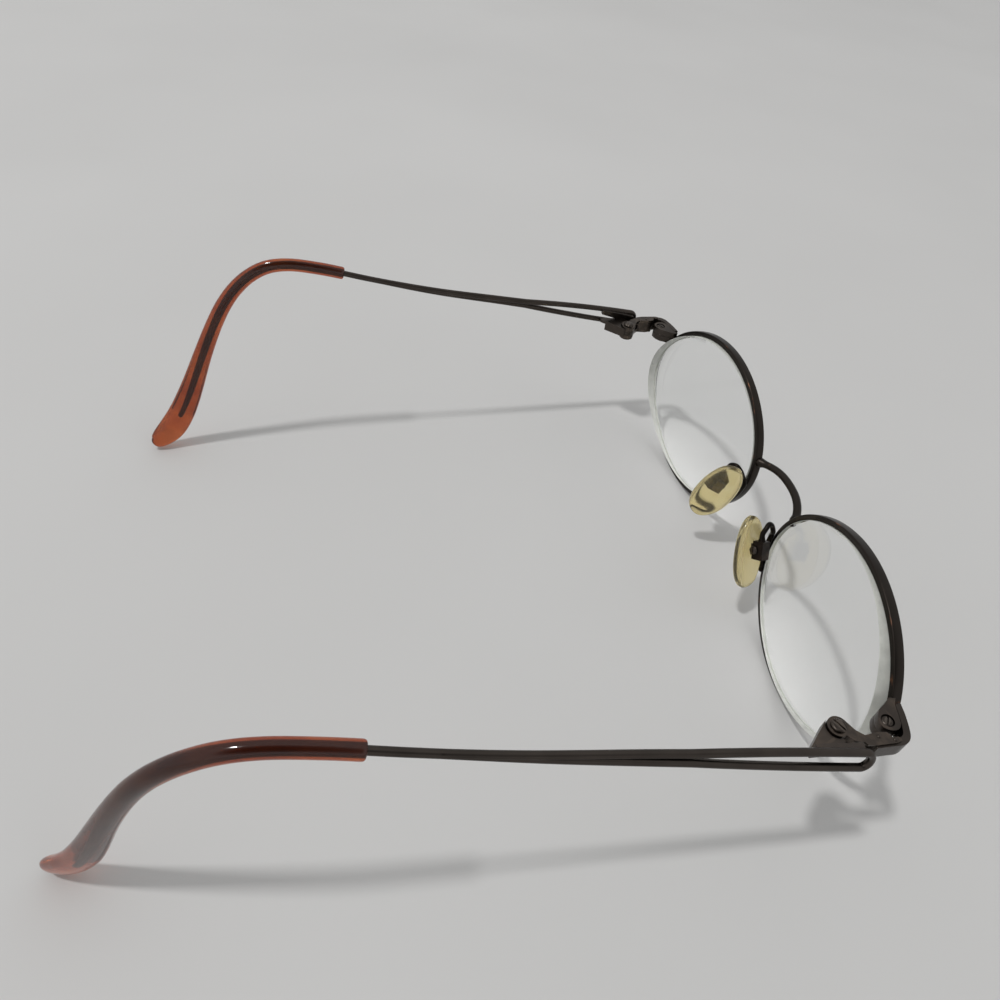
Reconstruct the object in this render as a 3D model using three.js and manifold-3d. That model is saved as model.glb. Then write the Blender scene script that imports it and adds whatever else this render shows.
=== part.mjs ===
// Round wire spectacles, open, standing on the lower rims and the ends of the ear pieces.
// Millimetres. +X is the wearer's left, the front faces -Y, the temples run back along +Y, +Z is up.
import * as THREE from 'three';
import { mergeVertices } from 'three/addons/utils/BufferGeometryUtils.js';
import Module from 'manifold-3d';

const wasm = await Module();
wasm.setup();

// ---------------------------------------------------------------- driving dimensions
// Eye wire and lens plane
const RIM_A = 22.77;            // half width of the eye wire centreline
const RIM_B = 17.83;            // half height of the eye wire centreline
const RIM_POWER = 1.979;        // outline exponent, 2 is an ellipse
const RIM_CX = 30.84;           // lens centre from the middle of the nose
const RIM_WRAP = 0.11473;       // face-form angle, radians
const RIM_TILT = 0.10728;       // pantoscopic angle, radians
const RIM_HARM = [-0.01514, 0.00065, 0, 0.02675, 0.00971, -0.00036, 0.00718, -0.00252];
const RIM_WALL = 1.1;           // eye wire, radial thickness
const RIM_DEPTH = 1.8;          // eye wire, front to back
const GROOVE_DEPTH = 0.4;       // groove that holds the lens bevel
const GROOVE_HALF = 0.45;
const SPLIT_Z = 26.45;          // height of the joint in the eye wire
const SPLIT_GAP = 0.1;
const RIM_STATIONS = 56;

// Lens
const LENS_GAP = 0.1;           // lens edge to the eye wire's inner face
const LENS_FRONT_R = 175;       // front curve
const LENS_BACK_R = 119;        // back curve
const LENS_CENTRE = 2.0;        // centre thickness
const LENS_FRONT_EDGE = -0.75;  // front edge, along the lens axis
const LENS_DECENTRE = 7.0;      // optical centre towards the nose

// Bridge
const BRIDGE_END = [8.75, -3.5, 22.6];
const BRIDGE_TOP = [0, -6.0, 23.9];
const BRIDGE_R = 0.85;

// End piece, closing block and hinge
const HINGE_X = 54.4, HINGE_Y = 13.93;    // hinge pin axis, vertical
const KNUCKLE_R = 1.65;
const STACK = [25.1, 26.2, 27.3, 28.4];   // three knuckles, bottom to top
const PLAY = 0.06;                        // running gap between knuckles
const LIP_GAP = 0.02;                     // braze gap under the lip of the upper plate
const PIN_R = 0.7, PIN_HOLE_R = 0.76;
const PIN_HEAD_R = 1.15, PIN_HEAD_H = 0.42;
const STRIP_Z = [24.95, 28.0];            // height of the bent end strip
const BLOCK_Z = [24.9, 26.4, 26.5, 28.0]; // lower and upper closing block
const LOCK_X = 54.3, LOCK_Y = 5.35;       // closing screw
const LOCK_R = 0.6, LOCK_HOLE_R = 0.64, LOCK_HEAD_R = 0.95;
const LOCK_SINK_R = 1.05, LOCK_SINK_Z = 27.5; // counterbore for the head

// Temple
const TEMPLE_X = 59.31, TEMPLE_Y = 13.93, TEMPLE_Z = 25.38;
const TEMPLE_SPLAY = -2.75 * Math.PI / 180;
const EAR_INSET = 4.08;         // how far the ear piece curves in over 30 mm
const EAR_FROM = 83.8;          // where that curve starts
const EAR_FORWARD = 1.7;        // how much further forward the left ear piece is bent than the right
const FORWARD_FROM = 78, FORWARD_OVER = 32;
const TEMPLE_PATH = [[-3.28, 1.6], [13.32, 4.7], [31.16, 7.95], [48.40, 11.1], [63.22, 14.6], [73.87, 17.37],
  [80.51, 18.43], [85.24, 17.99], [89.48, 16.07], [93.20, 13.11], [96.27, 9.54], [98.91, 5.47], [101.40, 0.99],
  [103.79, -3.71], [106.03, -8.38], [108.23, -12.80], [110.65, -17.15], [113.55, -21.0], [117.21, -24.0]];
const STRAND_R = 0.64;          // each leg of the doubled front wire
const SHAFT_R = 0.62;           // single wire behind it
const STRAND_SPREAD = 3.4;      // leg centres at the front bend
const STRAND_STAGGER = 0.6;     // lower leg stands this far outboard of the upper
const MERGE_FROM = 26, MERGE_TO = 60;   // the legs touch at the first and have become one shaft at the second
const SLEEVE_FROM = 68.9;       // ear piece sleeve starts here along the temple
const SLEEVE_R = 1.35;
const CORE_GAP = 0.05;

// Nose pads
const PAD_CENTRE_LEFT = [7.95, 4.65, 15.3];
const PAD_CENTRE_RIGHT = [9.1, 4.0, 14.4];
const PAD_AXIS_RIGHT = [8.35, 1.16, -12.06];  // long axis, downwards, outboard positive
const PAD_AXIS_LEFT = [0.86, 4.6, -13.9];
const PAD_TURN = 20 * Math.PI / 180;          // pad faces in and back
const PAD_LENGTH = 15.3, PAD_WIDTH = 8.6, PAD_FRONT = 1.35, PAD_BACK = 1.0;
const PAD_PIVOT = [-1.0, -2.1];               // pivot along the pad's length, and behind its face
const ARM_R = 0.52;
const ARM_HUG = [[9.4, 0.1, 1.2], [11.2, 0.3, 1.46], [13.4, 0.35, 1.48], [15.6, 0.35, 1.5], [17.4, 0.4, 1.6]]; // height, outward, back
const ARM_LOOP_RIGHT = [[7.7, -0.6, 18.8], [7.25, 0.0, 20.1], [7.5, 0.9, 20.7], [8.3, 1.8, 20.3]];
const ARM_LOOP_LEFT = [[7.95, -0.5, 19.0], [8.2, 0.5, 20.7], [9.1, 1.35, 21.5], [10.2, 2.05, 20.8]];

// Colours
const BRONZE = { color: 0x4a4038, roughness: 0.42, metalness: 0.9 };
const STEEL = { color: 0x6a6258, roughness: 0.35, metalness: 0.95 };
const AMBER = { color: 0x9a4a22, roughness: 0.28, metalness: 0.0 };
const PADPLASTIC = { color: 0xc8b878, roughness: 0.3, metalness: 0.0 };
const LENSGLASS = { color: 0xe8ecea, roughness: 0.05, metalness: 0.0, transparent: true, opacity: 0.3 };

// ---------------------------------------------------------------- solid helpers
const V3 = (x, y, z) => new THREE.Vector3(x, y, z);

function closedGeometry(positions, triangles) {
  let volume = 0;
  for (let i = 0; i < triangles.length; i += 3) {
    const [a, b, c] = [triangles[i], triangles[i + 1], triangles[i + 2]].map((k) => positions[k]);
    volume += a.dot(V3().copy(b).cross(c));
  }
  const index = [];
  for (let i = 0; i < triangles.length; i += 3) {
    if (volume > 0) index.push(triangles[i], triangles[i + 1], triangles[i + 2]);
    else index.push(triangles[i], triangles[i + 2], triangles[i + 1]);
  }
  const g = new THREE.BufferGeometry();
  g.setAttribute('position', new THREE.Float32BufferAttribute(positions.flatMap((p) => [p.x, p.y, p.z]), 3));
  g.setIndex(index);
  g.computeVertexNormals();
  return g;
}

// A body lofted through rings that all have the same number of points. The ends are flat caps cut
// from the section outline, or single points when an end is given as one.
function loft(rings, { section = null, startPoint = null, endPoint = null } = {}) {
  const n = rings[0].length;
  const pos = rings.flat().map((p) => p.clone());
  const tri = [];
  for (let i = 0; i + 1 < rings.length; i++) {
    for (let j = 0; j < n; j++) {
      const a = i * n + j, b = i * n + (j + 1) % n, c = a + n, d = b + n;
      tri.push(a, b, c, b, d, c);
    }
  }
  const capFaces = section
    ? THREE.ShapeUtils.triangulateShape(section.map(([x, y]) => new THREE.Vector2(x, y)), [])
    : Array.from({ length: n - 2 }, (_, k) => [0, k + 1, k + 2]);
  // winding of the cap against the first ring's own order
  let area = 0;
  if (section) for (let k = 0; k < n; k++) { const [x0, y0] = section[k], [x1, y1] = section[(k + 1) % n]; area += x0 * y1 - x1 * y0; }
  const flip = (f) => (section && area < 0 ? f : f);
  const last = (rings.length - 1) * n;
  if (startPoint) { pos.push(startPoint.clone()); for (let j = 0; j < n; j++) tri.push(pos.length - 1, (j + 1) % n, j); }
  else for (const f of capFaces) { const o = orient(f, n); tri.push(...flip([o[0], o[2], o[1]])); }
  if (endPoint) { pos.push(endPoint.clone()); for (let j = 0; j < n; j++) tri.push(pos.length - 1, last + j, last + (j + 1) % n); }
  else for (const f of capFaces) { const o = orient(f, n); tri.push(last + o[0], last + o[1], last + o[2]); }
  return closedGeometry(pos, tri);
}

// puts a cap triangle in the ring's own increasing order, so that its outer edges match the wall's
function orient(f, n) {
  for (const [a, b, c] of [[f[0], f[1], f[2]], [f[0], f[2], f[1]]]) {
    const up = ((b - a + n) % n) + ((c - b + n) % n) + ((a - c + n) % n);
    if (up === n) return [a, b, c];
  }
  return f;
}

function solidOf(geometry) {
  let g = geometry.clone();
  g.deleteAttribute('normal');
  if (g.attributes.uv) g.deleteAttribute('uv');
  g = mergeVertices(g, 1e-5);
  return new wasm.Manifold(new wasm.Mesh({
    numProp: 3,
    vertProperties: new Float32Array(g.attributes.position.array),
    triVerts: new Uint32Array(g.index.array),
  }));
}

function geometryOf(solid) {
  const m = solid.getMesh();
  const g = new THREE.BufferGeometry();
  g.setAttribute('position', new THREE.Float32BufferAttribute(Array.from(m.vertProperties), 3));
  g.setIndex(Array.from(m.triVerts));
  g.computeVertexNormals();
  return g;
}

const cut = (g, ...tools) => geometryOf(tools.reduce((s, t) => s.subtract(solidOf(t)), solidOf(g)));
const join = (...parts) => geometryOf(parts.slice(1).reduce((s, t) => s.add(solidOf(t)), solidOf(parts[0])));

function mirrored(g) {
  const m = g.clone();
  m.scale(-1, 1, 1);
  const i = m.index.array;
  for (let k = 0; k < i.length; k += 3) { const t = i[k + 1]; i[k + 1] = i[k + 2]; i[k + 2] = t; }
  m.computeVertexNormals();
  return m;
}

// a vertical prism from an outline seen from above
function prism(outline, z0, z1) {
  const shape = new THREE.Shape(outline.map(([x, y]) => new THREE.Vector2(x, y)));
  const g = new THREE.ExtrudeGeometry(shape, { depth: z1 - z0, bevelEnabled: false, curveSegments: 1 });
  g.translate(0, 0, z0);
  return g;
}

function rod(x, y, z0, z1, r, seg = 20) {
  const g = new THREE.CylinderGeometry(r, r, z1 - z0, seg);
  g.rotateX(Math.PI / 2);
  g.translate(x, y, (z0 + z1) / 2);
  return g;
}

// a turned body about +Z from a half profile
function turned(profile, seg = 18) {
  const g = new THREE.LatheGeometry(profile.map(([r, z]) => new THREE.Vector2(r, z)), seg);
  g.rotateX(Math.PI / 2);
  return g;
}

function arc(cx, cy, r, from, to, steps) {
  return Array.from({ length: steps + 1 }, (_, i) => {
    const a = (from + (to - from) * i / steps) * Math.PI / 180;
    return [cx + r * Math.cos(a), cy + r * Math.sin(a)];
  });
}

// round wire of changing radius through a list of points, with evenly carried section axes
function wire(points, radii, sides = 10, { startPoint = null, endPoint = null, reference = V3(1, 0, 0) } = {}) {
  const rings = [];
  let a = null;
  points.forEach((p, i) => {
    const t = V3().subVectors(points[Math.min(i + 1, points.length - 1)], points[Math.max(i - 1, 0)]).normalize();
    a = (a || reference).clone();
    a.addScaledVector(t, -a.dot(t)).normalize();
    const b = V3().crossVectors(t, a);
    rings.push(Array.from({ length: sides }, (_, k) => {
      const w = 2 * Math.PI * (k + 0.5) / sides;
      return p.clone().addScaledVector(a, radii[i] * Math.cos(w)).addScaledVector(b, radii[i] * Math.sin(w));
    }));
  });
  return loft(rings, { startPoint, endPoint });
}

const group = new THREE.Group();
function add(name, geometry, look) {
  const mesh = new THREE.Mesh(geometry, new THREE.MeshStandardMaterial(look));
  mesh.name = name;
  group.add(mesh);
  return mesh;
}
function addPair(name, geometry, look) {
  add(`${name}_left`, geometry, look);
  add(`${name}_right`, mirrored(geometry), look);
}

// ---------------------------------------------------------------- eye wire and lens (left side)
const rimU = V3(Math.cos(RIM_WRAP), Math.sin(RIM_WRAP), 0);
const rimV = V3(0, -Math.sin(RIM_TILT), Math.cos(RIM_TILT));
const rimD = V3().crossVectors(rimV, rimU).normalize();   // towards the face

function outlineUV(th) {
  const c = Math.cos(th), s = Math.sin(th), e = 2 / RIM_POWER, h = RIM_HARM;
  const g = 1 + h[0] * c + h[1] * s + h[2] * Math.cos(2 * th) + h[3] * Math.sin(2 * th)
    + h[4] * Math.cos(3 * th) + h[5] * Math.sin(3 * th) + h[6] * Math.cos(4 * th) + h[7] * Math.sin(4 * th);
  return [RIM_A * g * Math.sign(c) * Math.abs(c) ** e, RIM_B * g * Math.sign(s) * Math.abs(s) ** e];
}
let vLow = 0;
for (let i = 0; i < 720; i++) vLow = Math.min(vLow, outlineUV(i * Math.PI / 360)[1]);
const vShift = -RIM_B - vLow;
const rimC = V3(RIM_CX, 0, RIM_B * Math.cos(RIM_TILT));
const inPlane = (u, v, q) => rimC.clone().addScaledVector(rimU, u).addScaledVector(rimV, v).addScaledVector(rimD, q);

// a point of the eye wire's section: p outward in the lens plane, q towards the face
function rimPoint(th, p, q) {
  const [u, v] = outlineUV(th), [u1, v1] = outlineUV(th + 1e-3), [u0, v0] = outlineUV(th - 1e-3);
  const du = u1 - u0, dv = v1 - v0, l = Math.hypot(du, dv);
  return inPlane(u + p * dv / l, v + vShift - p * du / l, q);
}
let splitAngle = 0;
for (let a = 0.1; a < 1.2; a += 0.0005) if (rimPoint(a, 0, 0).z < SPLIT_Z) splitAngle = a;
const splitHalf = 0.5 * SPLIT_GAP / 21;

const w = RIM_WALL / 2, d = RIM_DEPTH / 2;
const rimSection = [[w, -d + 0.35], [w, d - 0.35], [w - 0.2, d], [-w, d], [-w, GROOVE_HALF], [-w + GROOVE_DEPTH, 0],
  [-w, -GROOVE_HALF], [-w, -d], [w - 0.2, -d]];
const sweepRim = (section, from, to, steps) => loft(
  Array.from({ length: steps + 1 }, (_, i) => section.map(([p, q]) => rimPoint(from + (to - from) * i / steps, p, q))),
  { section });
addPair('rim', sweepRim(rimSection, splitAngle + splitHalf, splitAngle + 2 * Math.PI - splitHalf, RIM_STATIONS), BRONZE);

// space taken by the eye wire and by the lens behind it, for trimming what is brazed to the rim
const NEAR_RIM = 0.04;
const rimSpace = sweepRim([[w + NEAR_RIM, -d - NEAR_RIM], [w + NEAR_RIM, d + NEAR_RIM], [-3, d + NEAR_RIM], [-3, -d - NEAR_RIM]], -0.6, 1.3, 24);
const lensSpace = sweepRim([[-w + 0.25, -3], [-w + 0.25, 6], [-3, 6], [-3, -3]], -0.6, 1.3, 24);
const rimSpaceNasal = sweepRim([[w + NEAR_RIM, -d - NEAR_RIM], [w + NEAR_RIM, d + NEAR_RIM], [-3, d + NEAR_RIM], [-3, -d - NEAR_RIM]], 2.4, 4.2, 24);

function lensGeometry() {
  const edge = -w - LENS_GAP, apex = -w + GROOVE_DEPTH - 0.08;
  const frontAt = (r2) => LENS_FRONT_EDGE + (r2 - 400) / (2 * LENS_FRONT_R);
  const back0 = frontAt(0) + LENS_CENTRE;
  const backAt = (r2) => back0 + r2 / (2 * LENS_BACK_R);
  const ring = (scale, q, p = edge) => Array.from({ length: RIM_STATIONS }, (_, i) => {
    const th = splitAngle + 2 * Math.PI * i / RIM_STATIONS;
    const e = rimPoint(th, p, 0).sub(rimC).multiplyScalar(scale);
    const u = e.dot(rimU), v = e.dot(rimV);
    const qq = typeof q === 'number' ? q : q((u + LENS_DECENTRE) ** 2 + v * v, u * u + v * v);
    return e.add(rimC).addScaledVector(rimD, qq);
  });
  const front = (_, r2) => Math.min(frontAt(r2), LENS_FRONT_EDGE);
  const back = (r2) => backAt(r2);
  const bh = GROOVE_HALF - 0.08;
  const rings = [ring(0.5, front), ring(1, () => LENS_FRONT_EDGE), ring(1, -bh), ring(1, 0, apex), ring(1, bh), ring(1, back), ring(0.72, back), ring(0.4, back)];
  const c0 = inPlane(0, 0, frontAt(0)), c1 = inPlane(0, 0, backAt(LENS_DECENTRE ** 2));
  return loft(rings, { startPoint: c0, endPoint: c1 });
}
addPair('lens', lensGeometry(), LENSGLASS);

// ---------------------------------------------------------------- bridge
{
  const N = 18, pts = [];
  for (let i = 0; i <= N; i++) {
    const s = -1 + 2 * i / N, k = Math.abs(s) ** 2.4;
    pts.push(V3(BRIDGE_END[0] * s, BRIDGE_TOP[1] + (BRIDGE_END[1] - BRIDGE_TOP[1]) * k, BRIDGE_TOP[2] + (BRIDGE_END[2] - BRIDGE_TOP[2]) * k));
  }
  const arch = wire(pts, pts.map(() => BRIDGE_R), 10, { reference: V3(0, 1, 0) });
  add('bridge', cut(arch, rimSpaceNasal, mirrored(rimSpaceNasal)), BRONZE);
}

// ---------------------------------------------------------------- end strip, closing blocks, closing screw
const strip = prism([[51.75, 1.65], [53.7, 2.0], [55.8, 2.6], [57.2, 3.2], [57.95, 3.95], [58.3, 5.0], [58.3, 9.4],
  [57.25, 9.4], [57.25, 5.25], [57.0, 4.7], [56.6, 4.15], [55.4, 3.6], [53.5, 3.0], [51.9, 2.65]], STRIP_Z[0], STRIP_Z[1]);
addPair('endpiece', cut(strip, rimSpace, lensSpace), BRONZE);

const blockOutline = [[50.9, 2.0], [51.9, 2.72], [53.45, 3.06], [55.1, 3.55], [55.75, 4.2], [55.95, 5.2], [55.65, 6.2],
  [55.0, 6.75], [54.1, 6.75], [53.2, 6.35], [52.4, 5.7], [51.9, 4.8], [51.3, 3.9], [50.7, 3.0]];
const stripSpace = prism([[51.7, 1.5], [53.7, 1.8], [55.8, 2.3], [57.2, 2.6], [57.95, 3.95], [57.0, 4.75], [56.6, 4.2],
  [55.4, 3.65], [53.5, 3.05], [51.9, 2.7]], STRIP_Z[0] - 1, STRIP_Z[1] + 1);
const lockHole = rod(LOCK_X, LOCK_Y, 20, 32, LOCK_HOLE_R, 16);
addPair('lock_block_upper', cut(prism(blockOutline, BLOCK_Z[2], BLOCK_Z[3]), rimSpace, lensSpace, stripSpace, lockHole, rod(LOCK_X, LOCK_Y, LOCK_SINK_Z, 32, LOCK_SINK_R, 20)), BRONZE);
addPair('lock_block_lower', cut(prism(blockOutline, BLOCK_Z[0], BLOCK_Z[1]), rimSpace, lensSpace, stripSpace, lockHole), BRONZE);

function screw(shankR, headR, from, seat, headH, slot) {
  const body = turned([[0, from], [shankR - 0.12, from], [shankR, from + 0.15], [shankR, seat], [headR, seat],
    [headR, seat + headH * 0.6], [headR - 0.18, seat + headH], [0, seat + headH]], 16);
  const groove = new THREE.BoxGeometry(3 * headR, slot, headH);
  groove.translate(0, 0, seat + headH * 1.0);
  return cut(body, groove);
}
{
  const g = screw(LOCK_R, LOCK_HEAD_R, BLOCK_Z[0] - 0.3, LOCK_SINK_Z + 0.03, 0.42, 0.3);
  g.rotateZ(0.6);
  g.translate(LOCK_X, LOCK_Y, 0);
  addPair('lock_screw', g, STEEL);
}

// ---------------------------------------------------------------- hinge
const pinHole = rod(HINGE_X, HINGE_Y, 20, 32, PIN_HOLE_R, 20);
{
  // front half: two knuckle plates on one web that is brazed inside the strip
  const knuckle = arc(HINGE_X, HINGE_Y, KNUCKLE_R, -20, 250, 12);
  const plateOutline = [[57.2, 6.3], [57.2, 9.45], [57.3, 11.0], [56.9, 12.5], ...knuckle, [55.3, 11.6], [56.25, 10.55], [56.2, 9.9], [56.0, 8.5], [56.2, 6.9]];
  const webOutline = [[57.2, 6.3], [57.2, 9.45], [57.2, 10.35], [56.7, 10.9], [56.3, 10.6], [56.2, 9.9], [56.0, 8.5], [56.2, 6.9]];
  // a lip of the upper plate that laps over the end strip
  const lipOutline = [[57.1, 6.3], [57.1, 5.5], [57.35, 5.1], [57.8, 5.2], [58.0, 6.0], [58.0, 9.4], [57.75, 10.8], [57.2, 11.2]];
  const lower = prism(plateOutline, STACK[0], STACK[1] - PLAY / 2);
  const upper = prism(plateOutline, STACK[2] + PLAY / 2, STACK[3]);
  const web = prism(webOutline, STACK[0], STACK[3]);
  const lip = prism(lipOutline, STRIP_Z[1] + LIP_GAP, STACK[3]);
  addPair('hinge_front', cut(join(lower, web, upper, lip), pinHole), BRONZE);
}

const smooth = (x) => { const t = Math.min(1, Math.max(0, x)); return t * t * (3 - 2 * t); };

// temple centreline and its two legs, in the temple's own frame: s along, z up, o outboard
const templeCurve = new THREE.CatmullRomCurve3(TEMPLE_PATH.map(([s, z]) => V3(0, s, z)), false, 'centripetal');
let forward = 0;
function templePoint(s, z, o = 0) {
  const f = Math.max(0, (s - EAR_FROM) / 30);
  const out = -EAR_INSET * f * f + o;
  return V3(TEMPLE_X + out * Math.cos(TEMPLE_SPLAY) + s * Math.sin(TEMPLE_SPLAY),
    TEMPLE_Y + s * Math.cos(TEMPLE_SPLAY) - out * Math.sin(TEMPLE_SPLAY) - forward * smooth((s - FORWARD_FROM) / FORWARD_OVER), TEMPLE_Z + z);
}
const curveTable = templeCurve.getPoints(400).map((p) => [p.y, p.z]);
function zAt(s) {
  for (let i = 1; i < curveTable.length; i++) {
    const [s0, z0] = curveTable[i - 1], [s1, z1] = curveTable[i];
    if (s <= s1) return z0 + (z1 - z0) * (s - s0) / (s1 - s0);
  }
  return curveTable[curveTable.length - 1][1];
}
// centre height and radius of each leg: they lean together, touch, and then taper into the single shaft
function legs(s) {
  const touch = STRAND_R + 0.025;
  if (s <= MERGE_FROM) {
    const h = touch + (STRAND_SPREAD / 2 - touch) * (1 - (Math.max(0, s) / MERGE_FROM) ** 2);
    return { up: h, ru: STRAND_R, low: -h, rl: STRAND_R, o: STRAND_STAGGER / 2 };
  }
  const t = Math.min(1, (s - MERGE_FROM) / (MERGE_TO - MERGE_FROM));
  const H = STRAND_R + touch + (SHAFT_R - STRAND_R - touch) * t, ru = STRAND_R + (SHAFT_R - STRAND_R) * t;
  const rl = H - ru - 0.015;
  return { up: H - ru, ru, low: -H + rl, rl, o: STRAND_STAGGER / 2 * (1 - smooth(t)) };
}

function templeWire(extra = 0) {
  const pts = [], rad = [];
  const put = (s, lift, o, r) => { pts.push(templePoint(s, zAt(s) + lift, o)); rad.push(r + extra); };
  // inner core, from its end in the ear piece forwards
  const earS = [110.9, 110.3, 108.6, 106.6, 104.4, 102.0, 99.6, 97.0, 94.2, 91.4, 88.4, 85.2, 82.2, 79.0, 75.0, 69.5, 64.5];
  earS.forEach((s, i) => put(s, 0, 0, i === 0 ? 0.35 : Math.min(SHAFT_R, 0.56 + 0.02 * i)));
  for (const s of [60, 54, 47, 40, 33, MERGE_FROM, 22, 17, 12, 6, 0]) { const g = legs(s); put(s, g.up, -g.o, g.ru); }
  // front bend
  const sb = -1.75, half = STRAND_SPREAD / 2;
  for (let i = 0; i <= 8; i++) {
    const a = Math.PI / 2 + Math.PI * i / 8;
    const flat = 0.82;
    put(sb + half * flat * Math.cos(a), half * Math.sin(a), -STRAND_STAGGER / 2 * Math.sin(a), STRAND_R);
  }
  for (const s of [0, 6, 12, 17, 22, MERGE_FROM, 33, 40, 47, 54, 56.5]) { const g = legs(s); put(s, g.low, g.o, g.rl); }
  return wire(pts, rad, 8);
}
forward = EAR_FORWARD;
add('temple_wire_left', templeWire(), BRONZE);
forward = 0;
add('temple_wire_right', mirrored(templeWire()), BRONZE);
const wireSpace = templeWire(0.05);

{
  // temple half: middle knuckle, a thicker leaf behind it and a seat brazed to both legs of the wire
  const tip = [57.5, 20.2];
  const tongue = [...arc(HINGE_X, HINGE_Y, KNUCKLE_R, 140, 345, 10), [58.3, 14.6], [58.1, 20.2], tip];
  const leaf = [[HINGE_X - 1.38, HINGE_Y + 1.22], [HINGE_X + 0.1, HINGE_Y + 1.0], [HINGE_X + 2.0, HINGE_Y - 0.2], [58.3, 14.2], [58.1, 20.2], tip];
  const middle = prism(tongue, STACK[1] + PLAY / 2, STACK[2] - PLAY / 2);
  const thick = cut(prism(leaf, 25.7, 28.0), rod(HINGE_X, HINGE_Y, 20, 32, KNUCKLE_R + 0.15, 32));
  const side = new THREE.Shape([[11.7, 27.0], [14.1, 27.5], [20.2, 29.5], [20.2, 30.6], [14.1, 29.3], [11.7, 28.7]].map(([y, z]) => new THREE.Vector2(y, z)));
  const seat = new THREE.ExtrudeGeometry(side, { depth: 0.9, bevelEnabled: false });
  seat.applyMatrix4(new THREE.Matrix4().set(0, 0, 1, 57.5, 1, 0, 0, 0, 0, 1, 0, 0, 0, 0, 0, 1));
  // the outboard part of the leaf is thinned from below, down to a plate under the seat
  const relief = prism([[56.6, 14.0], [60, 14.0], [60, 21], [56.6, 21]], 20, 27.3);
  addPair('hinge_temple', cut(join(cut(join(middle, thick), relief), seat), pinHole, wireSpace), BRONZE);
}
{
  const g = screw(PIN_R, PIN_HEAD_R, STACK[0] - 0.25, STACK[3] + 0.03, PIN_HEAD_H, 0.3);
  g.rotateZ(-0.5);
  g.translate(HINGE_X, HINGE_Y, 0);
  addPair('hinge_screw', g, STEEL);
}

// ---------------------------------------------------------------- ear piece sleeves
function sleeve() {
  // station: distance along the temple, half height, half thickness
  const stations = [[SLEEVE_FROM, 1.22, 1.2], [69.5, SLEEVE_R, 1.32], [75, 1.36, 1.3], [79.5, 1.36, 1.3], [83, 1.4, 1.32], [86.4, 1.45, 1.34],
    [89.4, 1.5, 1.36], [92.4, 1.56, 1.38], [95.2, 1.62, 1.4], [98, 1.7, 1.42], [100.8, 1.82, 1.44], [103.4, 2.0, 1.46], [106, 2.3, 1.48],
    [108.4, 2.62, 1.5], [110.8, 2.88, 1.5], [113.2, 2.98, 1.46], [115.2, 2.7, 1.36], [116.7, 2.15, 1.15], [117.7, 1.4, 0.8]];
  const sides = 12;
  const centre = (s) => {
    if (s <= 117.21) return templePoint(s, zAt(s));
    return templePoint(s, zAt(117.2) - (s - 117.21) * 0.62);
  };
  const at = (s) => {
    const t = V3().subVectors(centre(s + 0.2), centre(s - 0.2)).normalize();
    const a = V3(1, 0, 0); a.addScaledVector(t, -a.dot(t)).normalize();
    return { c: centre(s), t, a, b: V3().crossVectors(t, a) };
  };
  const ringAt = (s, hb, ha) => {
    const { c, a, b } = at(s);
    return Array.from({ length: sides }, (_, k) => {
      const x = 2 * Math.PI * (k + 0.5) / sides;
      return c.clone().addScaledVector(a, ha * Math.cos(x)).addScaledVector(b, hb * Math.sin(x));
    });
  };
  const outer = loft(stations.map(([s, hb, ha]) => ringAt(s, hb, ha)), { endPoint: centre(118.2) });
  const boreS = [66, 69.5, 75, 79, 82.2, 85.2, 88.4, 91.4, 94.2, 97.0, 99.6, 102.0, 104.4, 106.6, 108.6, 110.3, 111.3];
  const bore = loft(boreS.map((s) => ringAt(s, SHAFT_R + CORE_GAP + 0.05, SHAFT_R + CORE_GAP + 0.05)));
  return cut(outer, bore);
}
forward = EAR_FORWARD;
add('temple_tip_left', sleeve(), AMBER);
forward = 0;
add('temple_tip_right', mirrored(sleeve()), AMBER);

// ---------------------------------------------------------------- nose pads
// each pad has its own frame: L down its length, N out of its contact face, W to the back
function padFrame(axis, centre) {
  const L = V3(...axis).normalize();
  const N = V3(-Math.cos(PAD_TURN), Math.sin(PAD_TURN), 0);
  N.addScaledVector(L, -N.dot(L)).normalize();
  const W = V3().crossVectors(N, L);
  if (W.y < 0) W.negate();
  const C = V3(...centre);
  return { L, N, W, C, p: (l, n, wd) => C.clone().addScaledVector(L, l).addScaledVector(N, n).addScaledVector(W, wd) };
}
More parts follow.
